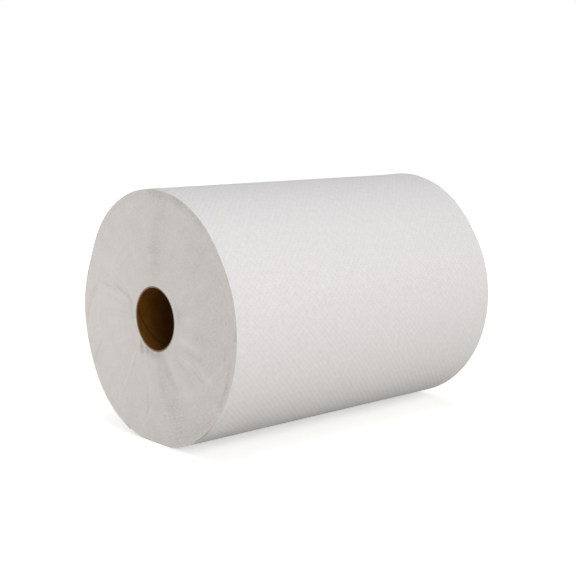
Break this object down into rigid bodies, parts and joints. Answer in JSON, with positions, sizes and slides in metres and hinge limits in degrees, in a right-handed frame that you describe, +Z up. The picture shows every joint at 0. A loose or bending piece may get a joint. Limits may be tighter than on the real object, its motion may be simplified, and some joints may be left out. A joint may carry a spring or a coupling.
{
  "type": "paper towel roll",
  "caption": "Roll of plain white paper towel wound on a brown cardboard core, lying on its side, its end faces ridged by bands of turns and its free sheet end lifting a little low at the back.",
  "frame": {"origin": "on the floor below the middle of the core, at the centre of the flat on which the roll rests", "axes": "+Z up; Y along the roll's axis, with the end that the picture shows at -Y; the loose sheet end is low on the -X side"},
  "size_m": [0.1824, 0.2546, 0.181],
  "materials": {
    "paper": "matte embossed tissue, warmer and a little darker on the cut ends of the turns",
    "cardboard": "matte brown paperboard with a spiral seam"
  },
  "bodies": {
    "root": {"wound_web": "paper", "core_tube": "cardboard"}
  },
  "joints": []
}
